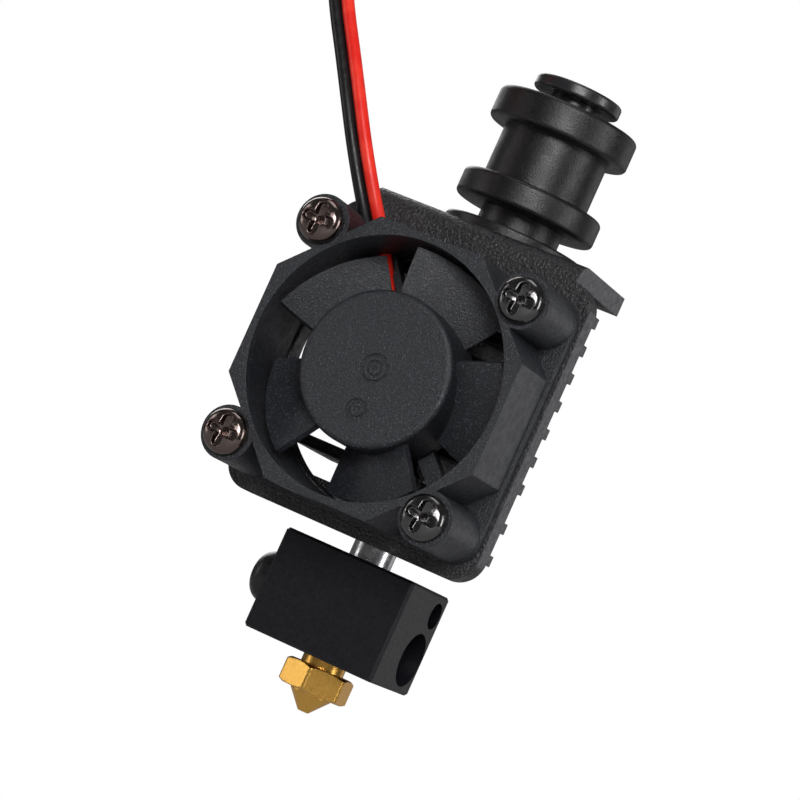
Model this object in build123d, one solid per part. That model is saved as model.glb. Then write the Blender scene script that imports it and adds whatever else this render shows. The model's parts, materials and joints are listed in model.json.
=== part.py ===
from build123d import *
import math
import os

# Hotend assembly, millimetres. X is to the right, Y goes from the fan to the back, Z is up the
# filament's axis, and the origin is on that axis, at the middle of the mounting groove.

# ---- groove mount ----
GROOVE_R = 6.0            # the neck that a mounting plate grips
GROOVE_H = 6.0
FLANGE_R = 8.0            # both flanges of the groove mount
UPPER_H = 3.6
LOWER_H = 3.0
NECK_R = 4.65
NECK_H = 2.15
BASE_R = 7.95
BASE_H = 1.1
SPIGOT_R = 4.0            # screwed into the heatsink
SPIGOT_H = 7.0
TUBE_R = 2.05             # bore for a 4 mm tube
MOUNT_EDGE = 0.55         # rounding on the flanges' rims

# ---- collet ----
COLLET_R = 4.95
COLLET_DISC_H = 1.45
COLLET_GAP = 1.35         # free height under the disc, which is the collet's travel and a little more
COLLET_TRAVEL = 1.0
STEM_R = 2.85
STEM_L = 6.4
RING_R = 4.1              # the metal ring that the jaws close on
RING_H = 4.2
RUN_GAP = 0.05            # radial gap of a running fit
COLLET_EDGE = 0.35
JAW_SLOT = 0.6

# ---- heatsink ----
FLANGE_X = 15.35          # half width of the front flange
FLANGE_T = 2.4
FLANGE_DOWN = 16.5
FLANGE_CORNER = 3.0
FLANGE_EDGE = 1.9         # the rounding along the top plate's front edge
PLATE_X = 12.6            # half width of the top plate
PLATE_T = 2.1
PLATE_BACK = 4.8
FIN_X = 11.0              # half width of the fins
FIN_BACK = 4.6
FIN_T = 1.2
FIN_PITCH = 3.27
FIN_ROW = 7
FIN_FIRST = 3.75          # from the top plate's upper face to the middle of the first fin
FIN_WIDE_STEP = 4.6       # to the eighth fin, past the set screw
FIN_LAST_STEP = 3.77
CORE_R = 5.0
AIR_R = 13.8              # the flange's round opening

# ---- heat break, block and nozzle ----
BREAK_R = 3.45            # the part in the heatsink
BREAK_NECK_R = 2.4
BREAK_WALL = 0.38
BREAK_UP = 14.0           # how far the heat break reaches above the heatsink's underside
THREAD_R = 3.0
MELT_R = 1.0
BLOCK_X = 16.0
BLOCK_Y = 11.6
BLOCK_Z = 11.5
BLOCK_DROP = 4.8          # from the last fin's underside to the block's top
BLOCK_EDGE = 0.3
BREAK_IN_BLOCK = 5.0
HEATER_R = 3.05
HEATER_Y = 2.4
HEATER_UP = 3.8           # above the block's underside
HEATER_DEEP = 4.2
SENSOR_R = 1.5
SENSOR_Y = 3.6
SENSOR_DOWN = 2.4         # below the block's top
SENSOR_DEEP = 4.6
BLOCK_SCREW_R = 1.5
BLOCK_SCREW_L = 4.0
BUTTON_R = 2.9
BUTTON_H = 2.9
BUTTON_EDGE = 1.7
BUTTON_Y = -1.3
BUTTON_SOCKET = 1.15      # corner radius of its hexagon socket
BUTTON_SOCKET_DEEP = 1.4
HEX_AF = 7.0
HEX_H = 2.85
HEX_TURN = 36.0           # one face's direction, in degrees from the front towards +X
NOZZLE_NECK_R = 2.45
NOZZLE_NECK_H = 0.95
CONE_R = 2.3
CONE_H = 2.1
TIP_R = 0.6
ORIFICE_R = 0.2

# ---- set screw ----
SET_R = 1.25
SET_L = 1.9               # ends 0.3 mm short of the tapped wall's mouth
SET_TURN = 40.0           # its direction, in degrees from the front towards +X

# ---- fan ----
FAN = 30.0
FAN_T = 10.0
FAN_HOLES = 24.0
FAN_BORE_R = 14.0
FAN_FLAT = 14.75          # from the centre to each side of the octagonal wall
FAN_REAR_T = 1.2
MOTOR_BASE_T = 1.6
MOTOR_BASE_R = 7.75
STRUT_W = 1.9
STRUTS = (45, 165, 285)
LEAD_STRUT_IN = 1.75      # the two thin struts on each side of the wires
LEAD_STRUT_OUT = 2.6
BOSS_R = 2.95
BOLT_R = 1.45
BOLT_HOLE_R = 1.6
BOLT_HEAD_R = 2.45
BOLT_HEAD_H = 1.7
BOLT_HEAD_EDGE = 1.0
CROSS_L = 3.5             # the cross recess, tip to tip
CROSS_W = 0.95
CROSS_DEEP = 1.1
CROSS_TURNS = (15, 22, 20, 24)
FAN_DROP = 28.3           # from the origin down to the fan's centre
FAN_FRONT = -20.5         # the fan's front face
HUB_R = 8.4
HUB_IN = 0.35             # the hub's front face lies this far inside the fan's front face
HUB_L = 7.0
HUB_WALL = 0.5
HUB_TOP = 0.8
TIP_GAP = 0.55
BLADES = 5
BLADE_IN = 7.0            # the blades' roots, inside the hub's wall
BLADE_T = 0.75
HUB_EDGE = 0.6
DIMPLE_R = 1.15
DIMPLE_AT = 4.6           # from the hub's centre, downwards
YOKE_T = 0.4
MAGNET_T = 0.9
STATOR_GAP = 0.4
TUBE_OUT_R = 2.45
BEARING_R = 1.75
SHAFT_R = 0.75
SHAFT_GAP = 0.03
SEAL_R = 3.6
SEAL_T = 0.2

# ---- wires ----
WIRE = 1.4
SIDE = 0.04               # between the two wires
HANK_L = 28.0
HANK_W = 9.0
HANK_T = 5.7
PLUG_L = 9.8
PLUG_W = 7.4
PLUG_T = 5.6
TIE_T = 0.7
TIE_W = 3.0
TIE_AT = 0.52             # the tie's place along the hank
PIN_PITCH = 2.5

# ---- heights that follow ----
UPPER_TOP = GROOVE_H / 2 + UPPER_H
LOWER_BOTTOM = -GROOVE_H / 2 - LOWER_H
BASE_TOP = LOWER_BOTTOM - NECK_H
PLATE_TOP = BASE_TOP - BASE_H
FIN_MIDS = [PLATE_TOP - FIN_FIRST - FIN_PITCH * i for i in range(FIN_ROW)]
FIN_MIDS.append(FIN_MIDS[-1] - FIN_WIDE_STEP)
FIN_MIDS.append(FIN_MIDS[-1] - FIN_LAST_STEP)
SINK_BOTTOM = FIN_MIDS[-1] - FIN_T / 2
BREAK_TOP = SINK_BOTTOM + BREAK_UP
BLOCK_TOP = SINK_BOTTOM - BLOCK_DROP
BLOCK_BOTTOM = BLOCK_TOP - BLOCK_Z
SEAT = BLOCK_TOP - BREAK_IN_BLOCK
HEX_TOP = BLOCK_BOTTOM - NOZZLE_NECK_H
HEX_BOTTOM = HEX_TOP - HEX_H
FLANGE_FRONT = FAN_FRONT + FAN_T
FLANGE_BACK = FLANGE_FRONT + FLANGE_T
SET_Z = (FIN_MIDS[FIN_ROW - 1] + FIN_MIDS[FIN_ROW]) / 2
RING_BOTTOM = UPPER_TOP - RING_H

# The fan's own frame: its origin is the centre of its front face, z goes to the back, y is down.
FAN_PLACE = Plane(origin=(0, FAN_FRONT, -FAN_DROP), x_dir=(1, 0, 0), z_dir=(0, 1, 0)).location
# Depths in the fan, from its front face.
HUB_BACK = HUB_IN + HUB_L
BASE_FRONT = FAN_T - MOTOR_BASE_T
BOARD_T = 0.6
BOARD_FRONT = BASE_FRONT - BOARD_T
STATOR_MID = 4.4
STATOR_T = 2.2
YOKE_R = HUB_R - HUB_WALL
MAGNET_R = YOKE_R - YOKE_T
STATOR_R = MAGNET_R - MAGNET_T - STATOR_GAP
BASE = (Align.CENTER, Align.CENTER, Align.MIN)
CORNERS = [(x * FAN_HOLES / 2, y * FAN_HOLES / 2) for x in (-1, 1) for y in (-1, 1)]

# ---- wires: each route is from the driver board to its hank ----
LEAD_TURN = -128.5        # the struts that guide the wires, in the fan's frame
RED = [
    (-4.6, -11.3, -21.7),
    (-6.5, -11.6, -18.4),
    (-8.1, -13.4, -14.9),
    (-10.3, -15.0, -11.3),
    (-13.4, -15.8, -6.5),
    (-16.4, -15.9, -1.8),
    (-19.1, -15.6, 2.2),
    (-21.9, -15.1, 6.1),
    (-24.2, -14.9, 9.9),
]
LEAD_STEP = Vector(-1, 0, -0.5).normalized() * (WIRE + SIDE)
BLACK = [(x + LEAD_STEP.X, y + LEAD_STEP.Y, z + LEAD_STEP.Z) for x, y, z in RED]
HANK_DIR = (Vector(*RED[-1]) - Vector(*RED[-2])).normalized()
BLACK_END = Vector(*BLACK[-1]) - HANK_DIR * LEAD_STEP.dot(HANK_DIR)
BLACK[-1] = (BLACK_END.X, BLACK_END.Y, BLACK_END.Z)
SIDE_DIR = (LEAD_STEP - HANK_DIR * LEAD_STEP.dot(HANK_DIR)).normalized()
RED_END = Vector(*RED[-1])
HANK_MID = (WIRE + SIDE) / 2


def rod(r, low, high, x=0.0, y=0.0):
    """A cylinder along Z from low to high."""
    return Pos(x, y, low) * Cylinder(r, high - low, align=BASE)


def ring(r, inner, low, high, x=0.0, y=0.0):
    return rod(r, low, high, x, y) - rod(inner, low - 1, high + 1, x, y)


def block(x0, x1, y0, y1, z0, z1):
    return Pos((x0 + x1) / 2, (y0 + y1) / 2, (z0 + z1) / 2) * Box(x1 - x0, y1 - y0, z1 - z0)


def turned(points):
    """A solid of revolution about Z from (radius, height) points."""
    face = make_face(Polyline(*[(r, 0, z) for r, z in points], close=True))
    return revolve(face, Axis.Z, 360)


def rims(body, radius):
    """The circular edges of a turned body that have this radius."""
    return [e for e in body.edges().filter_by(GeomType.CIRCLE) if abs(e.radius - radius) < 1e-4]


def groove_mount():
    half = GROOVE_H / 2
    body = turned([
        (0, UPPER_TOP), (FLANGE_R, UPPER_TOP), (FLANGE_R, half), (GROOVE_R, half),
        (GROOVE_R, -half), (FLANGE_R, -half), (FLANGE_R, LOWER_BOTTOM), (NECK_R, LOWER_BOTTOM),
        (NECK_R, BASE_TOP), (BASE_R, BASE_TOP), (BASE_R, PLATE_TOP), (SPIGOT_R, PLATE_TOP),
        (SPIGOT_R, PLATE_TOP - SPIGOT_H), (0, PLATE_TOP - SPIGOT_H),
    ])
    body = fillet(rims(body, FLANGE_R), MOUNT_EDGE)
    body = fillet([e for e in rims(body, BASE_R) if e.center().Z > PLATE_TOP + 0.1], 0.3)
    body -= rod(TUBE_R, PLATE_TOP - SPIGOT_H - 1, UPPER_TOP + 1)
    body -= rod(RING_R, RING_BOTTOM, UPPER_TOP + 1)
    return body - rod(STEM_R + 0.35, RING_BOTTOM - 3.0, RING_BOTTOM + 1)


def collet_ring():
    """The pressed-in metal ring. Its bore opens downwards, which closes the collet's jaws."""
    body = rod(RING_R, RING_BOTTOM, UPPER_TOP - 0.2)
    body -= rod(STEM_R + RUN_GAP, RING_BOTTOM - 1, UPPER_TOP + 1)
    mouth = Cone(STEM_R + 0.45, STEM_R + RUN_GAP, 1.2, align=BASE)
    return body - Pos(0, 0, RING_BOTTOM) * mouth


def collet():
    """Disc and split stem. The slots between the jaws start below the disc."""
    low = UPPER_TOP + COLLET_GAP
    body = turned([
        (0, low - STEM_L), (STEM_R - 0.25, low - STEM_L), (STEM_R, low - STEM_L + 0.5), (STEM_R, low),
        (COLLET_R, low), (COLLET_R, low + COLLET_DISC_H), (0, low + COLLET_DISC_H),
    ])
    body = fillet(rims(body, COLLET_R), COLLET_EDGE)
    body -= rod(TUBE_R, low - STEM_L - 1, low + COLLET_DISC_H + 1)
    lead = Cone(TUBE_R, TUBE_R + 0.4, 0.4, align=BASE)
    body -= Pos(0, 0, low + COLLET_DISC_H - 0.4) * lead
    for k in range(2):
        slot = block(-STEM_R - 1, STEM_R + 1, -JAW_SLOT / 2, JAW_SLOT / 2, low - STEM_L - 1, low - 1.7)
        body -= Rot(0, 0, 45 + 90 * k) * slot
    return body


def fin_outline(half, back, low, high):
    return block(-half, half, FLANGE_BACK - 0.01, back, low, high)


def heatsink():
    fan_z = -FAN_DROP
    low = fan_z - FLANGE_DOWN
    shoulder = PLATE_TOP - PLATE_T + 0.1
    flange = block(-FLANGE_X, FLANGE_X, FLANGE_FRONT, FLANGE_BACK, low, shoulder)
    flange = fillet(flange.edges().filter_by(Axis.Y), FLANGE_CORNER)
    plate = block(-PLATE_X, PLATE_X, FLANGE_FRONT, PLATE_BACK, PLATE_TOP - PLATE_T, PLATE_TOP)
    top_edge = plate.edges().group_by(Axis.Z)[-1].group_by(Axis.Y)[0]
    plate = fillet(top_edge, FLANGE_EDGE)
    plate += rod(BASE_R + 0.15, PLATE_TOP - PLATE_T, PLATE_TOP)
    body = flange + plate
    for mid in FIN_MIDS:
        body += fin_outline(FIN_X, FIN_BACK, mid - FIN_T / 2, mid + FIN_T / 2)
        body += rod(CORE_R + 0.7, mid - FIN_T / 2, mid + FIN_T / 2)
    body += rod(CORE_R, SINK_BOTTOM, PLATE_TOP - PLATE_T + 0.1)
    air = Rot(90, 0, 0) * Cylinder(AIR_R, FLANGE_T)
    body -= Pos(0, (FLANGE_FRONT + FLANGE_BACK) / 2, fan_z) * air
    for x, y in CORNERS:
        body -= Pos(x, FLANGE_FRONT, fan_z - y) * Rot(90, 0, 0) * Cylinder(BOLT_R, 4 * FLANGE_T)
    body -= rod(SPIGOT_R, PLATE_TOP - SPIGOT_H, PLATE_TOP + 1)
    body -= rod(TUBE_R, SINK_BOTTOM - 1, PLATE_TOP)
    body -= rod(BREAK_R, SINK_BOTTOM - 1, BREAK_TOP)
    return body - set_tool(SET_R, 0, 9)


def set_tool(r, start, length):
    """A cylinder along the set screw's line, from the heat break's wall outwards."""
    tool = Cylinder(r, length, align=BASE)
    tool = Pos(0, 0, BREAK_R + start) * tool
    return Pos(0, 0, SET_Z) * Rot(0, 0, SET_TURN) * Rot(90, 0, 0) * tool


def set_screw():
    screw = set_tool(SET_R, 0.02, SET_L) - set_tool(BREAK_R, -2 * BREAK_R, 2 * BREAK_R + 0.02)
    socket = extrude(RegularPolygon(0.75, 6), 2)
    socket = Pos(0, 0, BREAK_R + SET_L - 1.0) * socket
    socket = Pos(0, 0, SET_Z) * Rot(0, 0, SET_TURN) * Rot(90, 0, 0) * socket
    return screw - rod(BREAK_R + 0.01, SET_Z - 5, SET_Z + 5) - socket


def heat_break():
    body = rod(BREAK_R, SINK_BOTTOM, BREAK_TOP)
    body += rod(BREAK_NECK_R, BLOCK_TOP, SINK_BOTTOM)
    body += rod(THREAD_R, SEAT, BLOCK_TOP)
    body -= rod(TUBE_R, SINK_BOTTOM - 0.4, BREAK_TOP + 1)
    return body - rod(MELT_R, SEAT - 1, SINK_BOTTOM)


def ptfe_liner():
    return ring(TUBE_R, MELT_R, SINK_BOTTOM - 0.4, BREAK_TOP)


def heater_block():
    body = block(-BLOCK_X / 2, BLOCK_X / 2, -BLOCK_Y / 2, BLOCK_Y / 2, BLOCK_BOTTOM, BLOCK_TOP)
    body = chamfer(body.edges(), BLOCK_EDGE)
    body -= rod(THREAD_R, BLOCK_BOTTOM - 1, BLOCK_TOP + 1)
    along = Rot(0, 90, 0)
    heater = along * Cylinder(HEATER_R, 2 * HEATER_DEEP)
    body -= Pos(BLOCK_X / 2, HEATER_Y, BLOCK_BOTTOM + HEATER_UP) * heater
    sensor = along * Cylinder(SENSOR_R, 2 * SENSOR_DEEP)
    body -= Pos(BLOCK_X / 2, SENSOR_Y, BLOCK_TOP - SENSOR_DOWN) * sensor
    tapped = along * Cylinder(BLOCK_SCREW_R, 2 * BLOCK_SCREW_L)
    return body - Pos(-BLOCK_X / 2, BUTTON_Y, BLOCK_TOP - BLOCK_Z / 2) * tapped


def block_screw():
    """Button-head screw, made along Z with its head up, then laid into the block's left end."""
    dome = Cylinder(BUTTON_R, BUTTON_H, align=BASE)
    dome = fillet(dome.edges().group_by(Axis.Z)[-1], BUTTON_EDGE)
    body = dome + rod(BLOCK_SCREW_R, -BLOCK_SCREW_L + 0.3, 0)
    body -= Pos(0, 0, BUTTON_H - BUTTON_SOCKET_DEEP) * extrude(RegularPolygon(BUTTON_SOCKET, 6), 2)
    return Pos(-BLOCK_X / 2, BUTTON_Y, BLOCK_TOP - BLOCK_Z / 2) * Rot(0, -90, 0) * body


def nozzle():
    hexagon = extrude(RegularPolygon(HEX_AF / math.sqrt(3), 6, rotation=30), HEX_H)
    hexagon = Rot(0, 0, HEX_TURN - 90) * hexagon
    limit = turned([
        (0, -0.001), (HEX_AF / 2 - 0.1, -0.001), (HEX_AF / 2 + 0.45, 0.28),
        (HEX_AF / 2 + 0.45, HEX_H - 0.28), (HEX_AF / 2 - 0.05, HEX_H + 0.001), (0, HEX_H + 0.001),
    ])
    body = Pos(0, 0, HEX_BOTTOM) * (hexagon & limit)
    body += rod(NOZZLE_NECK_R, HEX_TOP - 0.1, BLOCK_BOTTOM)
    body += rod(THREAD_R, BLOCK_BOTTOM, SEAT)
    body += turned([
        (0, HEX_BOTTOM + 0.1), (CONE_R, HEX_BOTTOM + 0.1), (CONE_R, HEX_BOTTOM - 0.15),
        (TIP_R, HEX_BOTTOM - CONE_H), (0, HEX_BOTTOM - CONE_H),
    ])
    body -= rod(MELT_R, HEX_BOTTOM, SEAT + 1)
    body -= Pos(0, 0, HEX_BOTTOM - 0.9) * Cone(ORIFICE_R, MELT_R, 0.901, align=BASE)
    return body - rod(ORIFICE_R, HEX_BOTTOM - CONE_H - 1, HEX_BOTTOM - 0.8)


def octagon(flat, low, high):
    shape = RegularPolygon(flat / math.cos(math.pi / 8), 8, rotation=22.5)
    return Pos(0, 0, low) * extrude(shape, high - low)


def fan_frame():
    """Octagonal wall, corner bosses, square rear plate, and struts to the motor's base."""
    wall = octagon(FAN_FLAT, 0, FAN_T)
    square = Pos(0, 0, FAN_T - FAN_REAR_T / 2) * Box(FAN, FAN, FAN_REAR_T)
    square = fillet(square.edges().filter_by(Axis.Z), FAN / 2 - FAN_HOLES / 2)
    body = wall + square
    for x, y in CORNERS:
        body += rod(BOSS_R, 0, FAN_T, x, y)
        web = block(FAN_FLAT - 2.2, FAN_HOLES / math.sqrt(2), -1.6, 1.6, 0.8, FAN_T)
        body += Rot(0, 0, math.degrees(math.atan2(y, x))) * web
    body -= rod(FAN_BORE_R, -1, FAN_T + 1)
    motor = rod(MOTOR_BASE_R, BASE_FRONT, FAN_T)
    motor += rod(TUBE_OUT_R, 2.2, BASE_FRONT)
    for turn in STRUTS:
        strut = block(HUB_R - 1.5, FAN_BORE_R + 0.4, -STRUT_W / 2, STRUT_W / 2, BASE_FRONT, FAN_T)
        motor += Rot(0, 0, turn) * strut
    low, high = LEAD_STRUT_IN, LEAD_STRUT_OUT
    pair = block(HUB_R - 1.5, FAN_BORE_R + 0.4, -high, -low, BASE_FRONT, FAN_T)
    pair += block(HUB_R - 1.5, FAN_BORE_R + 0.4, low, high, BASE_FRONT, FAN_T)
    motor += Rot(0, 0, LEAD_TURN) * pair
    body += motor
    body -= rod(BEARING_R, 1, FAN_T - 1.0)
    body -= rod(SEAL_R - 0.9, FAN_T - 1.2, FAN_T + 1)
    body -= rod(SEAL_R, FAN_T - SEAL_T, FAN_T + 1)
    for x, y in CORNERS:
        body -= rod(BOLT_HOLE_R, -1, FAN_T + 1, x, y)
    for path in (RED, BLACK):
        body -= lead_channel(path)
    return FAN_PLACE * body


def lead_channel(path):
    """The notch that one wire leaves by, in the fan's frame."""
    spots = [Vector(x, -FAN_DROP - z, y - FAN_FRONT) for x, y, z in path[:4]]
    cut = None
    for p, q in zip(spots, spots[1:]):
        along = Plane(origin=(p.X, p.Y, p.Z), z_dir=(q - p).normalized())
        piece = along.location * Pos(0, 0, -0.6) * Cylinder(
            WIRE / 2 + 0.12, (q - p).length + 1.2, align=BASE)
        cut = piece if cut is None else cut + piece
    return cut


def blade(turn):
    """One twisted blade: it leans more at the hub than at its tip."""
    sections = []
    reach = FAN_BORE_R - TIP_GAP
    middle = (BLADE_IN + reach) / 2
    for r, lean, half in ((BLADE_IN, 29, 4.3), (middle, 25, 5.5), (reach, 22, 6.45)):
        spot = Plane(origin=(r, 0, HUB_IN + 0.45 + HUB_L / 2 - 0.4), x_dir=(0, 1, 0), z_dir=(1, 0, 0))
        sections.append(spot * Rot(0, 0, lean) * Rectangle(2 * half, BLADE_T))
    body = loft(Sketch() + sections)
    limit = ring(reach, HUB_R - 0.35, HUB_IN + 0.3, HUB_BACK - 0.1)
    return Rot(0, 0, turn) * (body & limit)


def fan_rotor():
    """Hub cap and blades in one moulding, with the gate mark and a dimple on its face."""
    cap = Cylinder(HUB_R, HUB_L, align=BASE)
    cap = Pos(0, 0, HUB_IN) * fillet(cap.edges().group_by(Axis.Z)[0], HUB_EDGE)
    cap -= rod(YOKE_R, HUB_IN + HUB_TOP, HUB_BACK + 1)
    cap -= ring(1.55, 1.25, HUB_IN - 1, HUB_IN + 0.18)
    cap -= rod(DIMPLE_R, HUB_IN - 1, HUB_IN + 0.22, 0, DIMPLE_AT)
    cap -= ring(0.85, 0.65, HUB_IN - 1, HUB_IN + 0.13)
    cap -= rod(0.25, HUB_IN - 1, HUB_IN + 0.15)
    cap += ring(0.7, 0.4, HUB_IN + 0.08, HUB_IN + 0.3, 0, DIMPLE_AT)
    for k in range(BLADES):
        cap += blade(360 / BLADES * k)
    return FAN_PLACE * cap


def rotor_yoke():
    top = HUB_IN + HUB_TOP
    body = ring(YOKE_R, YOKE_R - YOKE_T, top, HUB_BACK - 0.3) + rod(YOKE_R, top, top + YOKE_T)
    body += rod(1.7, top, top + 1.0)
    return FAN_PLACE * (body - rod(SHAFT_R, top - 1, top + 2))


def rotor_magnet():
    return FAN_PLACE * ring(MAGNET_R, MAGNET_R - MAGNET_T, HUB_IN + HUB_TOP + YOKE_T, HUB_BACK - 0.5)


def fan_shaft():
    body = rod(SHAFT_R, HUB_IN + HUB_TOP, FAN_T - 0.35)
    return FAN_PLACE * (body - ring(SHAFT_R + 1, SHAFT_R - 0.2, FAN_T - 0.85, FAN_T - 0.6))


def thrust_washer():
    """Slides on the shaft in front of the bearing."""
    low = HUB_IN + HUB_TOP + 1.0 + 0.1
    return FAN_PLACE * ring(1.6, SHAFT_R + SHAFT_GAP, low, low + 0.2)


def bearing_sleeve():
    low = HUB_IN + HUB_TOP + 1.0 + 0.4
    return FAN_PLACE * ring(BEARING_R, SHAFT_R + SHAFT_GAP, low, FAN_T - 1.1)


def shaft_clip():
    """Snapped into the shaft's groove, behind the bearing; it turns with the shaft."""
    body = ring(1.35, SHAFT_R - 0.2, FAN_T - 0.83, FAN_T - 0.63)
    return FAN_PLACE * (body - block(0, 3, -0.35, 0.35, 0, FAN_T))


def seal_disc():
    return FAN_PLACE * rod(SEAL_R - 0.1, FAN_T - SEAL_T, FAN_T)


def stator_core():
    """Laminated core with four poles."""
    low = STATOR_MID - STATOR_T / 2
    high = STATOR_MID + STATOR_T / 2
    body = rod(3.1, low, high)
    shoe = ring(STATOR_R, STATOR_R - 0.7, low, high)
    for k in range(4):
        body += Rot(0, 0, 90 * k) * block(0, STATOR_R - 0.4, -0.7, 0.7, low, high)
        body += Rot(0, 0, 90 * k) * (shoe & block(0, 9, -3.2, 3.2, low, high))
    return FAN_PLACE * (body - rod(TUBE_OUT_R, low - 1, high + 1))


def stator_insulator():
    """One moulded insulator on each face of the core."""
    cross = []
    for low, high in ((STATOR_MID - STATOR_T / 2 - 0.3, STATOR_MID - STATOR_T / 2),
                      (STATOR_MID + STATOR_T / 2, STATOR_MID + STATOR_T / 2 + 0.3)):
        body = rod(3.1, low, high)
        for k in range(4):
            body += Rot(0, 0, 90 * k) * block(0, STATOR_R - 0.1, -0.9, 0.9, low, high)
        cross.append(FAN_PLACE * (body - rod(TUBE_OUT_R, low - 1, high + 1)))
    return Compound(children=cross)


def stator_windings():
    """A coil round each pole."""
    coils = []
    half = STATOR_T / 2 + 0.3
    for k in range(4):
        outer = block(3.25, STATOR_R - 1.1, -1.75, 1.75, STATOR_MID - half - 0.5, STATOR_MID + half + 0.5)
        outer = fillet(outer.edges().filter_by(Axis.X), 0.6)
        hole = block(0, 9, -0.95, 0.95, STATOR_MID - half - 0.02, STATOR_MID + half + 0.02)
        coils.append(FAN_PLACE * Rot(0, 0, 90 * k) * (outer - hole))
    return Compound(children=coils)


def driver_board():
    board = ring(6.4, TUBE_OUT_R, BOARD_FRONT, BASE_FRONT)
    chip = block(-4.9, -3.1, 2.4, 4.0, BOARD_FRONT - 0.7, BOARD_FRONT)
    return FAN_PLACE * (board + chip)


def fan_screws():
    """Pan heads with a cross recess, standing on the fan's front face."""
    screws = []
    for k, (x, y) in enumerate(CORNERS):
        head = Cylinder(BOLT_HEAD_R, BOLT_HEAD_H, align=BASE)
        head = fillet(head.edges().group_by(Axis.Z)[0], BOLT_HEAD_EDGE)
        turn = Rot(0, 0, CROSS_TURNS[k])
        arm = Box(CROSS_L, CROSS_W, 2 * CROSS_DEEP) + Box(CROSS_W, CROSS_L, 2 * CROSS_DEEP)
        arm &= Cone(CROSS_L / 2, 0.35, 1.5, align=BASE)
        arm += Cone(0.95, 0.3, 1.55, align=BASE)
        head -= turn * arm
        shank = rod(BOLT_R, BOLT_HEAD_H, BOLT_HEAD_H + FAN_T + FLANGE_T)
        screws.append(FAN_PLACE * Pos(x, y, -BOLT_HEAD_H) * (head + shank))
    return Compound(children=screws)


def wire(points, name):
    """A tube of straight runs and tangent arcs along the route."""
    radii = []
    spots = [Vector(*p) for p in points]
    for a, b, c in zip(spots, spots[1:], spots[2:]):
        half = math.radians((b - a).get_angle(c - b)) / 2
        radii.append(0.45 * min((b - a).length, (c - b).length) / math.tan(half))
    print(name, "bend radii", [round(r, 1) for r in radii])
    path = FilletPolyline(*spots, radius=radii)
    start = Plane(origin=path @ 0, z_dir=path % 0)
    tube = sweep(start * Circle(WIRE / 2), path=path)
    print(name, "volume", round(tube.volume, 3), "of", round(path.length * math.pi * WIRE**2 / 4, 3))
    return tube


def hank_place(at):
    return Plane(origin=at, x_dir=SIDE_DIR, z_dir=HANK_DIR).location


def hank(end, shift):
    """The folded length of one wire, as its outer shape, with rounded ends."""
    body = Pos(0, 0, HANK_L / 2) * Box(HANK_W, HANK_T, HANK_L)
    body = fillet(body.edges().filter_by(Axis.Y), HANK_W / 2 - 0.1)
    body = fillet(body.edges().group_by(Axis.Y)[0] + body.edges().group_by(Axis.Y)[-1], 0.6)
    return hank_place(end) * Pos(HANK_MID, shift, 0) * body


def red_hank():
    return hank(RED_END, -HANK_T / 2 - 0.01)


def black_hank():
    return hank(RED_END, HANK_T / 2 + 0.01)


def lead_tie():
    """A band round both hanks at their middle."""
    w = HANK_W + 0.1
    t = 2 * HANK_T + 0.14
    outer = Box(w + 2 * TIE_T, t + 2 * TIE_T, TIE_W)
    outer = fillet(outer.edges().filter_by(Axis.Z), 0.8)
    return hank_place(RED_END) * Pos(HANK_MID, 0, HANK_L * TIE_AT) * (outer - Box(w, t, 9))


def plug_place():
    return hank_place(RED_END) * Pos(HANK_MID, 0, HANK_L)


def connector_housing():
    body = Pos(0, 0, PLUG_L / 2) * Box(PLUG_W, PLUG_T, PLUG_L)
    body = fillet(body.edges().filter_by(Axis.Z), 0.4)
    for x in (-PIN_PITCH / 2, PIN_PITCH / 2):
        body -= Pos(x, 0, PLUG_L / 2) * Box(1.3, 1.9, PLUG_L + 2)
        body -= Pos(x, PLUG_T / 2, PLUG_L * 0.62) * Box(1.1, 3.2, 2.0)
        body += Pos(x * 1.6, -PLUG_T / 2 - 0.25, PLUG_L * 0.55) * Box(0.7, 0.5, PLUG_L * 0.7)
    return plug_place() * body


def connector_contacts():
    contacts = []
    for x in (-PIN_PITCH / 2, PIN_PITCH / 2):
        body = Pos(x, 0, PLUG_L / 2) * Box(1.2, 1.8, PLUG_L - 2.0)
        body -= Pos(x, 0, PLUG_L) * Box(0.7, 0.7, 8.0)
        contacts.append(plug_place() * body)
    return Compound(children=contacts)


def make():
    nodes = {
        "groove_mount": groove_mount(),
        "collet_ring": collet_ring(),
        "collet": collet(),
        "heatsink": heatsink(),
        "heat_break_screw": set_screw(),
        "heat_break": heat_break(),
        "ptfe_liner": ptfe_liner(),
        "heater_block": heater_block(),
        "block_screw": block_screw(),
        "nozzle": nozzle(),
        "fan_frame": fan_frame(),
        "fan_rotor": fan_rotor(),
        "rotor_yoke": rotor_yoke(),
        "rotor_magnet": rotor_magnet(),
        "fan_shaft": fan_shaft(),
        "thrust_washer": thrust_washer(),
        "bearing_sleeve": bearing_sleeve(),
        "shaft_clip": shaft_clip(),
        "seal_disc": seal_disc(),
        "stator_core": stator_core(),
        "stator_insulator": stator_insulator(),
        "stator_windings": stator_windings(),
        "driver_board": driver_board(),
        "fan_screws": fan_screws(),
        "red_wire": wire(RED, "red"),
        "black_wire": wire(BLACK, "black"),
        "red_hank": red_hank(),
        "black_hank": black_hank(),
        "lead_tie": lead_tie(),
        "connector_housing": connector_housing(),
        "connector_contacts": connector_contacts(),
    }
    os.makedirs("parts", exist_ok=True)
    for name, shape in nodes.items():
        export_step(shape, f"parts/{name}.step")


make()
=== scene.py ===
import json
import math

import bpy
from mathutils import Matrix, Vector


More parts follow.
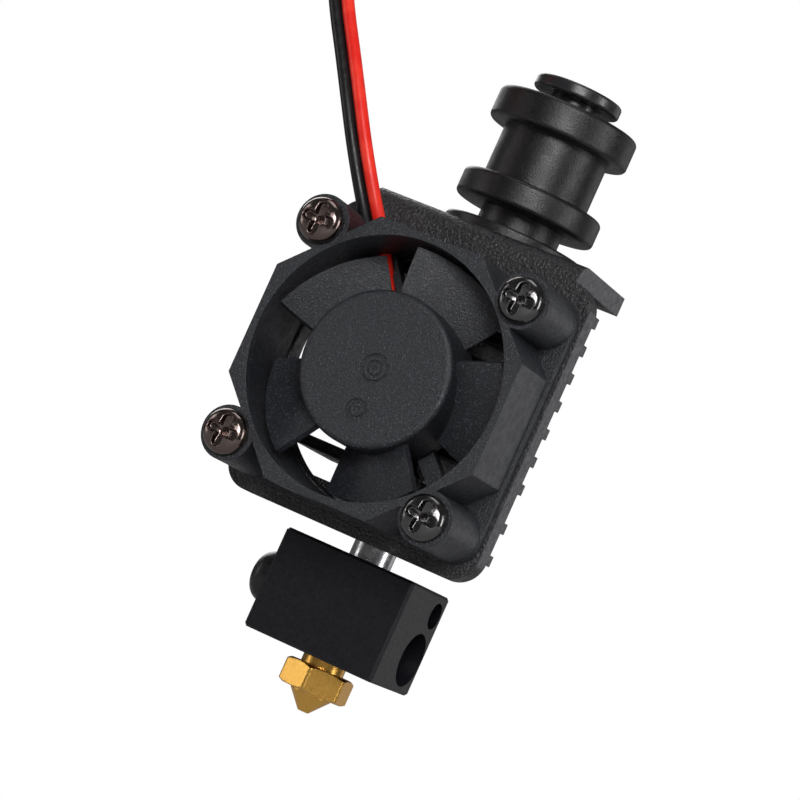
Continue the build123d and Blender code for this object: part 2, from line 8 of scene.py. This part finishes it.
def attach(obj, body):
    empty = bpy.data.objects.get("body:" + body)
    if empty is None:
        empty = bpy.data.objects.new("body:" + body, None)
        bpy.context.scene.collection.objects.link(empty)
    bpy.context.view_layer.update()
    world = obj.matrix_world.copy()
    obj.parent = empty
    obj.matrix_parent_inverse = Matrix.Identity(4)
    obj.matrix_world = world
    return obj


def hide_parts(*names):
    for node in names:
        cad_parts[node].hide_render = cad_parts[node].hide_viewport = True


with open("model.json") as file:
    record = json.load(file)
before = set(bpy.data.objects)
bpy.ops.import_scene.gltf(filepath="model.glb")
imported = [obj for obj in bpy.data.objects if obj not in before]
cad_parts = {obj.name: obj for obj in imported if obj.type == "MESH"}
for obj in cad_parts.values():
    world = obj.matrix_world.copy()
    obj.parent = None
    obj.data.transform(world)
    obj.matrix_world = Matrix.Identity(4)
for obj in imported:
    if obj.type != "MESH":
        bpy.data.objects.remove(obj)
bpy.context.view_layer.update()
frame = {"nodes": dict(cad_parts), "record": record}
MM = 0.001
NODES = frame["nodes"]


# ---- materials ----
class Value:
    """A socket's value in one material, with arithmetic and a way to add nodes behind it."""

    def __init__(self, tree, socket=None):
        self.tree = tree
        self.socket = socket

    def node(self, kind, settings=None, out=0, **inputs):
        """Adds a node. Inputs are named by their socket, with _ for a space, or by n and a number."""
        new = self.tree.nodes.new("ShaderNode" + kind)
        for key, setting in (settings or {}).items():
            setattr(new, key, setting)
        for key, value in inputs.items():
            plug = new.inputs[int(key[1:])] if key[1:].isdigit() else new.inputs[key.replace("_", " ")]
            if isinstance(value, Value):
                self.tree.links.new(value.socket, plug)
            elif isinstance(value, tuple) and len(value) == 3 and plug.type == "RGBA":
                plug.default_value = (*value, 1)
            else:
                plug.default_value = value
        return Value(self.tree, new.outputs[out])

    def maths(self, operation, a, b):
        return self.node("Math", {"operation": operation}, n0=a, n1=b)

    def __add__(self, other):
        return self.maths("ADD", self, other)

    __radd__ = __add__

    def __sub__(self, other):
        return self.maths("SUBTRACT", self, other)

    def __rsub__(self, other):
        return self.maths("SUBTRACT", other, self)

    def __mul__(self, other):
        return self.maths("MULTIPLY", self, other)

    __rmul__ = __mul__

    def between(self, low, high, first=0.0, last=1.0):
        """Takes low..high to first..last, with soft ends."""
        return self.node(
            "MapRange", {"interpolation_type": "SMOOTHSTEP"}, n0=self, n1=low, n2=high, n3=first, n4=last
        )

    def blend(self, first, second):
        """The colour between first, where this is 0, and second, where it is 1."""
        return self.node("Mix", {"data_type": "RGBA"}, out=2, n0=self, n6=first, n7=second)


class Finish:
    """A material with a Principled shader. Same-all-over values are set on its own sockets."""

    def __init__(self, name, colour, rough, metal=0.0, **same):
        self.material = bpy.data.materials.new(name)
        self.material.use_nodes = True
        self.tree = self.material.node_tree
        self.shader = self.tree.nodes["Principled BSDF"]
        self.v = Value(self.tree)
        self.place = self.v.node("TexCoord", out=3)
        self.put(Base_Color=colour, Roughness=rough, Metallic=metal, **same)
        self.material.diffuse_color = (*colour, 1)

    def put(self, **inputs):
        for key, value in inputs.items():
            plug = self.shader.inputs[key.replace("_", " ")]
            if isinstance(value, Value):
                self.tree.links.new(value.socket, plug)
            elif plug.type == "RGBA":
                plug.default_value = (*value, 1)
            else:
                plug.default_value = value

    def noise(self, size_mm, detail=2.0, rough=0.5):
        scale = 1 / (size_mm * MM)
        return self.v.node("TexNoise", Vector=self.place, Scale=scale, Detail=detail, Roughness=rough)

    def grains(self, size_mm):
        return self.v.node("TexVoronoi", Vector=self.place, Scale=1 / (size_mm * MM))

    def lathe_rings(self, scale, detail):
        """Fine rings round the Z axis, as on a turned surface."""
        flat = {"noise_dimensions": "1D"}
        return self.v.node("TexNoise", flat, W=self.axis("Z"), Scale=scale, Detail=detail)

    def axis(self, letter):
        return self.v.node("SeparateXYZ", out="XYZ".index(letter), n0=self.place)

    def cut_faces(self):
        """1 on the faces that look straight left or right, which are cut smooth, and 0 elsewhere."""
        facing = self.v.node("NewGeometry", out=3)
        sideways = self.v.node("SeparateXYZ", out=0, n0=facing)
        return (sideways * sideways).between(0.93, 0.99)

    def relief(self, height, depth_mm, edge_mm=0.1):
        """Surface relief, over edges that are broken by a small radius."""
        edge = self.v.node("Bevel", {"samples": 4}, Radius=edge_mm * MM)
        bump = self.v.node("Bump", Strength=1.0, Distance=depth_mm * MM, Height=height, Normal=edge)
        self.put(Normal=bump)


def sand_coat():
    f = Finish("sand_coat", (0.012, 0.012, 0.014), 0.5, Specular_IOR_Level=0.6)
    smooth_cut_and_sheen = f.cut_faces()
    grit = f.noise(0.3, 3.0, 0.65)
    crumbs = f.grains(0.36)
    f.relief((grit * 0.8 + (1 - crumbs) * 0.45) * (1 - smooth_cut_and_sheen * 0.93), 0.13, 0.2)
    f.put(Roughness=f.noise(0.5, 2.0).between(0.3, 0.75, 0.3, 0.55))
    # painted glints: sparse lighter specks in the base colour stand in for light glinting off the coarse
    # grains
    painted_glints = f.noise(0.24, 1.0).between(0.58, 0.7)
    coat_with_painted_glints = painted_glints.blend((0.009, 0.009, 0.011), (0.05, 0.05, 0.056))
    # the faces looking left or right are cut smoother, which is real, and their lighter base colour is
    # painted sheen for the light they reflect
    f.put(Base_Color=smooth_cut_and_sheen.blend(coat_with_painted_glints, (0.05, 0.05, 0.058)))
    return f.material


def blasted():
    f = Finish("blasted", (0.008, 0.008, 0.009), 0.36, Specular_IOR_Level=0.45)
    grit = f.noise(0.17, 3.0, 0.6)
    f.relief(grit, 0.034)
    f.put(Roughness=f.noise(1.6, 3.0).between(0.3, 0.7, 0.3, 0.4))
    specks = f.noise(0.17, 1.0).between(0.45, 0.7)
    f.put(Base_Color=specks.blend((0.005, 0.005, 0.006), (0.018, 0.0175, 0.0175)))
    return f.material


def satin_block():
    f = Finish("satin_block", (0.008, 0.008, 0.01), 0.42, Specular_IOR_Level=0.3)
    f.relief(f.noise(0.2, 3.0, 0.6), 0.014)
    f.put(Roughness=f.noise(0.5, 4.0, 0.6).between(0.3, 0.7, 0.38, 0.46))
    grain = f.noise(0.35, 4.0, 0.6).between(0.35, 0.7)
    f.put(Base_Color=grain.blend((0.006, 0.0058, 0.0085), (0.0095, 0.0092, 0.013)))
    return f.material


def satin_collet():
    f = Finish("satin_collet", (0.02, 0.02, 0.022), 0.3, Specular_IOR_Level=0.55)
    f.relief(f.noise(0.3, 2.0), 0.004)
    f.put(Roughness=f.noise(1.1, 3.0).between(0.3, 0.7, 0.24, 0.36))
    return f.material


def grained_plastic(name, colour, rough, depth):
    f = Finish(name, colour, rough, Specular_IOR_Level=0.5)
    side = f.cut_faces()
    spark_erosion = f.noise(0.22, 3.0, 0.65)
    f.relief(spark_erosion * (1 - side * 0.8), depth, 0.14)
    f.put(Roughness=f.noise(0.9, 3.0).between(0.3, 0.7, rough - 0.06, rough + 0.06))
    # painted glints: sparse lighter specks in the base colour stand in for light sparkling off the
    # textured plastic
    painted_sparkle = f.noise(0.18, 1.0).between(0.57, 0.7)
    f.put(Base_Color=painted_sparkle.blend(colour, tuple(c * 4.2 for c in colour)))
    return f.material


def turned_steel():
    f = Finish("turned_steel", (0.62, 0.62, 0.64), 0.2, 1.0)
    f.relief(f.lathe_rings(9000.0, 3.0), 0.002)
    f.put(Roughness=f.noise(0.8, 2.0).between(0.3, 0.7, 0.2, 0.34))
    return f.material


def black_nickel(name, tint):
    f = Finish(name, tint, 0.16, 1.0)
    f.relief(f.noise(0.5, 2.0), 0.01)
    f.put(Roughness=f.noise(0.4, 3.0).between(0.35, 0.7, 0.1, 0.28))
    return f.material


def black_oxide():
    f = Finish("black_oxide", (0.03, 0.03, 0.032), 0.3, 0.6)
    f.relief(f.noise(0.15, 2.0), 0.008)
    f.put(Roughness=f.noise(0.5, 3.0).between(0.3, 0.7, 0.22, 0.42))
    return f.material


def turned_brass():
    f = Finish("turned_brass", (0.9, 0.55, 0.2), 0.28, 1.0)
    f.relief(f.lathe_rings(14000.0, 2.0) * 0.6 + f.noise(0.2, 2.0) * 0.4, 0.004, 0.14)
    f.put(Roughness=f.noise(0.3, 3.0).between(0.2, 0.8, 0.27, 0.33))
    tone = f.noise(0.25, 3.0).between(0.2, 0.8)
    f.put(Base_Color=tone.blend((0.89, 0.485, 0.1), (0.94, 0.535, 0.125)))
    return f.material


def wire_cover(name, colour, lighter):
    f = Finish(name, colour, 0.34, Specular_IOR_Level=0.35)
    f.relief(f.noise(0.5, 2.0), 0.01)
    f.put(Roughness=f.noise(0.9, 2.0).between(0.3, 0.7, 0.28, 0.42))
    f.put(Base_Color=f.noise(2.5, 2.0).between(0.35, 0.65).blend(colour, lighter))
    return f.material


def plain(name, colour, rough, metal=0.0, size=0.6, depth=0.006):
    f = Finish(name, colour, rough, metal)
    f.relief(f.noise(size, 2.0), depth)
    f.put(Roughness=f.noise(size * 3, 2.0).between(0.3, 0.7, max(rough - 0.06, 0.02), rough + 0.08))
    darker = tuple(c * 0.86 for c in colour)
    f.put(Base_Color=f.noise(size * 5, 3.0).between(0.3, 0.7).blend(darker, colour))
    return f.material


FAN_BLACK = (0.016, 0.017, 0.021)
FINISHES = {
    "black_textured": sand_coat(),
    "black_blasted": blasted(),
    "black_smooth": satin_block(),
    "black_plastic": satin_collet(),
    "fan_plastic": grained_plastic("fan_grain", FAN_BLACK, 0.4, 0.1),
    "steel": turned_steel(),
    "nickel_screw": black_nickel("black_nickel", (0.13, 0.125, 0.125)),
    "black_screw": black_oxide(),
    "brass": turned_brass(),
    "red_insulation": wire_cover("red_cover", (0.85, 0.02, 0.012), (0.95, 0.045, 0.025)),
    "black_insulation": wire_cover("black_cover", (0.006, 0.006, 0.007), (0.011, 0.011, 0.012)),
    "ptfe": plain("ptfe", (0.86, 0.86, 0.84), 0.42),
    "magnet": plain("ferrite", (0.06, 0.055, 0.055), 0.6, size=0.2, depth=0.01),
    "nylon": plain("nylon", (0.8, 0.78, 0.7), 0.45),
    "bronze": plain("sintered_bronze", (0.5, 0.31, 0.16), 0.42, 1.0, size=0.15, depth=0.012),
    "label": plain("label_film", (0.6, 0.61, 0.63), 0.3, 0.7, size=1.2, depth=0.004),
    "copper": plain("enamelled_copper", (0.66, 0.25, 0.1), 0.24, 0.9, size=0.2, depth=0.03),
    "board": plain("solder_mask", (0.012, 0.12, 0.045), 0.3, size=0.8),
    "white_plastic": plain("plug_nylon", (0.78, 0.77, 0.71), 0.42),
    "tin": plain("tinned", (0.72, 0.71, 0.68), 0.28, 1.0, size=0.4),
}
SLOT_OF = {row["node"]: row["material_slot"] for row in frame["record"]["subparts"]}


def finish_with(piece, slot_name, material=None):
    piece.data.materials.clear()
    piece.data.materials.append(material or FINISHES[slot_name])


for node_name, node in NODES.items():
    finish_with(node, SLOT_OF[node_name])


# ---- wires with their folded length ----
WIRE = 1.4
WIRE_PITCH = 1.44           # between the two wires' centres
LEAD_MID = WIRE_PITCH / 2   # from the red wire to the middle of the pair
LEAD_STEP = Vector((-1, 0, -0.5)).normalized() * WIRE_PITCH
RED_ROUTE = [
    Vector(p)
    for p in (
        (-4.6, -11.3, -21.7),
        (-6.5, -11.6, -18.4),
        (-8.1, -13.4, -14.9),
        (-10.3, -15.0, -11.3),
        (-13.4, -15.8, -6.5),
        (-16.4, -15.9, -1.8),
        (-19.1, -15.6, 2.2),
        (-21.9, -15.1, 6.1),
        (-24.2, -14.9, 9.9),
    )
]
HANK_DIR = (RED_ROUTE[-1] - RED_ROUTE[-2]).normalized()
ALONG = HANK_DIR * LEAD_STEP.dot(HANK_DIR)
SIDE_DIR = (LEAD_STEP - ALONG).normalized()
BLACK_ROUTE = [p + LEAD_STEP for p in RED_ROUTE]
BLACK_ROUTE[-1] = BLACK_ROUTE[-1] - ALONG
HANK_AXES = Matrix((SIDE_DIR, HANK_DIR.cross(SIDE_DIR), HANK_DIR)).transposed()
TURN_R = 3.8
HALF_RUN = 6.5
LOOP_MID = 11.0
LAYER = 1.42                # each lap lies this far beside the one before
LAPS = 3
RUN_SHARES = (-0.5, 0, 0.5)
TURN_ANGLES = (157.5, 112.5, 67.5, 22.5)
LAP_POINTS = 2 * (len(RUN_SHARES) + len(TURN_ANGLES))
ENTRY = [(-1.62, -0.2, 3.0), (-TURN_R, -LEAD_MID, 6.9), (-TURN_R, -LEAD_MID, LOOP_MID)]
TO_PLUG = [(-TURN_R, -LEAD_MID - LAYER * LAPS, 20.4), (-1.25, -0.2, 25.6), (-1.25, 0, 28.9)]


def folded(sign):
    """Control points of a wire's put-away length: entry, laps of a racetrack, and the way to the plug."""
    reach = TURN_R / math.cos(math.pi / 8)
    laid = []
    for half in (1, -1) * LAPS:
        laid += [(-half * TURN_R, LOOP_MID + half * share * HALF_RUN) for share in RUN_SHARES]
        for angle in TURN_ANGLES:
            a = math.radians(angle)
            laid.append((half * reach * math.cos(a), LOOP_MID + half * (HALF_RUN + reach * math.sin(a))))
    laid += [(-TURN_R, LOOP_MID + share * HALF_RUN) for share in RUN_SHARES]
    points = list(ENTRY)
    for k, (x, z) in enumerate(laid):
        if k > 1:  # the entry stands in for the first two
            points.append((x, -LEAD_MID - LAYER * min(k / LAP_POINTS, LAPS), z))
    return [(LEAD_MID + sign * x, sign * y, z) for x, y, z in points + TO_PLUG]


def lead(name, route, sign, slot_name):
    origin = RED_ROUTE[-1]
    points = route + [origin + HANK_AXES @ Vector(p) for p in folded(sign)]
    curve = bpy.data.curves.new(name, "CURVE")
    curve.dimensions = "3D"
    line = curve.splines.new("NURBS")
    line.points.add(len(points) - 1)
    for spot, p in zip(line.points, points):
        spot.co = (*(p * MM), 1)
    line.order_u = 3
    line.use_endpoint_u = True
    line.resolution_u = 6
    curve.bevel_depth = WIRE / 2 * MM
    curve.bevel_resolution = 6
    curve.use_fill_caps = True
    piece = bpy.data.objects.new(name, curve)
    bpy.context.scene.collection.objects.link(piece)
    finish_with(piece, slot_name)
    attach(piece, "body")
    return piece


red_lead = lead("red_lead", RED_ROUTE, 1, "red_insulation")
black_lead = lead("black_lead", BLACK_ROUTE, -1, "black_insulation")
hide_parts("red_wire", "red_hank")
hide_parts("black_wire", "black_hank")
for piece, route in ((red_lead, RED_ROUTE), (black_lead, BLACK_ROUTE)):
    tuple(route[0] * MM)


# ---- fan screws: domed heads with a deep cross recess ----
HEAD_R = 2.45
HEAD_H = 1.7
HEAD_RIM = 0.62
CROWN = 0.6
CROSS_ARM = 1.8
CROSS_HALF = 0.55
CROSS_DEPTH = 1.25
CROSS_CORE_R = 0.78
CROSS_WALL = 0.13           # the wall's run from rim to floor
CROSS_LIP = 0.15            # the share of the depth reached at the rim itself
CROSS_RISE = 0.62           # the share of the depth lost at an arm's end
PIT_R = 0.5
PIT_DEPTH = 0.35
RECESS_SHADE_DEPTH = 0.22            # deeper than this, a face gets the darker colour painted as shade in the recess
INNER_RINGS = 31
RING_STEP = 0.06
OUTER_RINGS = 10
HEAD_AROUND = 160
SHANK_R = 1.45
SHANK_L = 12.4
SHANK_AROUND = 48
FAN_MID_Z = -28.3
FAN_FRONT_Y = -20.5
HOLE = 12.0


def cross_depth(x, y):
    """How deep the recess is at a point of the head, in mm."""
    def arm(a, b):
        along = max(abs(a) - (CROSS_ARM - CROSS_HALF), 0.0)
        return math.hypot(along, b) - CROSS_HALF

    r = math.hypot(x, y)
    inside = -min(arm(x, y), arm(y, x), r - CROSS_CORE_R)
    wall = min(max(inside / CROSS_WALL + CROSS_LIP, 0.0), 1.0)
    arm_floor = CROSS_DEPTH * (1.0 - CROSS_RISE * min(r / CROSS_ARM, 1.0))
    return wall * (arm_floor + PIT_DEPTH * max(0.0, 1 - r / PIT_R))


def dome_height(r):
    """The head's surface above its seat, without the recess."""
    crown = HEAD_H - CROWN * (r / HEAD_R) ** 2
    past = max(r - (HEAD_R - HEAD_RIM), 0.0) / HEAD_RIM
    return crown - HEAD_RIM * (1 - math.sqrt(max(1 - past * past, 0.0)))


def circle(radius, around):
    turns = [2 * math.pi * k / around for k in range(around)]
    return [(radius * math.cos(a), radius * math.sin(a)) for a in turns]


def screw_head_mesh():
    around = HEAD_AROUND
    rings = [RING_STEP * k for k in range(1, INNER_RINGS + 1)]
    band = (HEAD_R - rings[-1]) / OUTER_RINGS
    rings += [min(rings[-1] + band * k, HEAD_R) for k in range(1, OUTER_RINGS + 1)]
    verts = [(0, 0, HEAD_H - cross_depth(0, 0))]
    for r in rings:
        verts += [(x, y, dome_height(r) - cross_depth(x, y)) for x, y in circle(r, around)]
    verts += [(x, y, 0.0) for x, y in circle(HEAD_R, around)]
    verts.append((0, 0, 0))
    faces = [(0, 1 + k, 1 + (k + 1) % around) for k in range(around)]
    for ring in range(len(rings)):
        a, b = 1 + ring * around, 1 + (ring + 1) * around
        faces += [(a + k, b + k, b + (k + 1) % around, a + (k + 1) % around) for k in range(around)]
    base = 1 + len(rings) * around
    faces += [(base + (k + 1) % around, base + k, len(verts) - 1) for k in range(around)]
    mesh = bpy.data.meshes.new("screw_head")
    mesh.from_pydata([Vector(v) * MM for v in verts], [], faces)
    mesh.validate()
    mesh.shade_smooth()
    for face in mesh.polygons:
        x, y, z = face.center / MM
        below = dome_height(math.hypot(x, y)) - z
        # faces deep in the cross recess take the second, darker material: painted shade
        face.material_index = int(below > RECESS_SHADE_DEPTH and z > 0.1)
    return mesh


def shank_mesh():
    """A plain round bar along Z, behind the head."""
    around = SHANK_AROUND
    verts = [Vector((x, y, z)) * MM for z in (-SHANK_L, 0.0) for x, y in circle(SHANK_R, around)]
    faces = [(k, (k + 1) % around, around + (k + 1) % around, around + k) for k in range(around)]
    faces += [tuple(reversed(range(around))), tuple(range(around, 2 * around))]
    mesh = bpy.data.meshes.new("screw_shank")
    mesh.from_pydata(verts, [], faces)
    mesh.shade_smooth()
    mesh.set_sharp_from_angle(angle=math.radians(40))
    return mesh


def fan_screws():
    head, shank = screw_head_mesh(), shank_mesh()
    warm = black_nickel("black_nickel_warm", (0.17, 0.13, 0.12))
    cool = FINISHES["nickel_screw"]
    # a much darker black nickel for the deep recess: painted shade
    recess_shade = black_nickel("recess_painted_shade", (0.03, 0.027, 0.026))
    for name, x, z, turn, finish in (
        ("top_left", -1, 1, -1, warm),
        ("bottom_left", -1, -1, -4, warm),
        ("top_right", 1, 1, -4, cool),
        ("bottom_right", 1, -1, -6, cool),
    ):
        seat = Vector((x * HOLE, FAN_FRONT_Y, FAN_MID_Z + z * HOLE)) * MM
        facing = Matrix.Rotation(math.radians(90), 4, "X") @ Matrix.Rotation(math.radians(turn), 4, "Z")
        for part, mesh in (("head", head), ("shank", shank)):
            piece = bpy.data.objects.new(f"screw_{part}_{name}", mesh.copy())
            piece.matrix_world = Matrix.Translation(seat) @ facing
            bpy.context.scene.collection.objects.link(piece)
            finish_with(piece, "nickel_screw", finish)
            if part == "head":
                # the second material is the recess's painted shade
                piece.data.materials.append(recess_shade)
            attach(piece, "body")
    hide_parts("fan_screws")


fan_screws()


# ---- floor, light and camera ----
ROOM_LIGHT = 0.1            # what the white room gives the object, against 1 as the camera sees it
FLOOR_Z = -0.16
FLOOR_HALF = 6.0
MIDDLE = Vector((0, -0.008, -0.027))
LIGHTS = (
    ("front", (0.3, -0.78, 0.26), 0.4, 0.3, 4.8),
    ("key", (0.85, -0.05, 0.16), 0.22, 0.5, 2.0),
    ("left", (-0.62, -0.3, 0.0), 0.14, 0.5, 0.6),
    ("top", (-0.05, -0.1, 0.7), 0.4, 0.3, 0.8),
    ("back", (-0.5, 0.5, 0.35), 0.4, 0.5, 1.6),
    ("rim", (0.3, 0.65, 0.1), 0.4, 0.5, 0.32),
)


def lay_floor():
    """A floor that the camera sees as plain white."""
    h = FLOOR_HALF
    mesh = bpy.data.meshes.new("floor")
    mesh.from_pydata([(-h, -h, 0), (h, -h, 0), (h, h, 0), (-h, h, 0)], [], [(0, 1, 2, 3)])
    plane = bpy.data.objects.new("floor", mesh)
    plane.location = (0, 0, FLOOR_Z)
    bpy.context.scene.collection.objects.link(plane)
    paint = Finish("floor", (0.5, 0.5, 0.5), 0.9)
    glow = paint.v.node("Emission", Color=(1.0, 1.0, 1.0), Strength=1.0)
    seen_first = paint.v.node("LightPath")
    painted = Value(paint.tree, paint.shader.outputs[0])
    shown = paint.v.node("MixShader", n0=seen_first, n1=painted, n2=glow)
    paint.tree.links.new(shown.socket, paint.tree.nodes["Material Output"].inputs["Surface"])
    mesh.materials.append(paint.material)


def softbox(name, place, width, height, power):
    light = bpy.data.lights.new(name, "AREA")
    light.shape = "RECTANGLE"
    light.size = width
    light.size_y = height
    light.energy = power
    lamp = bpy.data.objects.new(name, light)
    lamp.location = place
    lamp.rotation_euler = (MIDDLE - Vector(place)).to_track_quat("-Z", "Y").to_euler()
    bpy.context.scene.collection.objects.link(lamp)


lay_floor()
for row in LIGHTS:
    softbox(*row)

world = bpy.data.worlds.new("studio")
bpy.context.scene.world = world
world.use_nodes = True
background = world.node_tree.nodes["Background"]
background.inputs["Color"].default_value = (1, 1, 1, 1)
seen = Value(world.node_tree).node("LightPath")
world.node_tree.links.new((seen * (1.0 - ROOM_LIGHT) + ROOM_LIGHT).socket, background.inputs["Strength"])
bpy.context.scene.view_settings.view_transform = "Standard"

AZIMUTH, ELEVATION, ROLL = math.radians(23.01), math.radians(-3.35), math.radians(24.19)
DISTANCE = 359.4 * MM
AIM = Vector((-1.0026, -8.2657, -29.5178)) * MM
LENS = 153.45
SENSOR = 36.0
out = Vector(
    (
        math.sin(AZIMUTH) * math.cos(ELEVATION),
        -math.cos(AZIMUTH) * math.cos(ELEVATION),
        math.sin(ELEVATION),
    )
)
level = (-out).cross(Vector((0, 0, 1))).normalized()
upright = level.cross(-out)
right = math.cos(ROLL) * level + math.sin(ROLL) * upright
up = -math.sin(ROLL) * level + math.cos(ROLL) * upright
camera_data = bpy.data.cameras.new("camera")
camera_data.lens = LENS
camera_data.sensor_width = SENSOR
camera_data.clip_start = 0.01
camera_data.clip_end = 20.0
camera = bpy.data.objects.new("camera", camera_data)
facing = Matrix((right, up, out)).transposed().to_4x4()
camera.matrix_world = Matrix.Translation(AIM + out * DISTANCE) @ facing
bpy.context.scene.collection.objects.link(camera)
bpy.context.scene.camera = camera
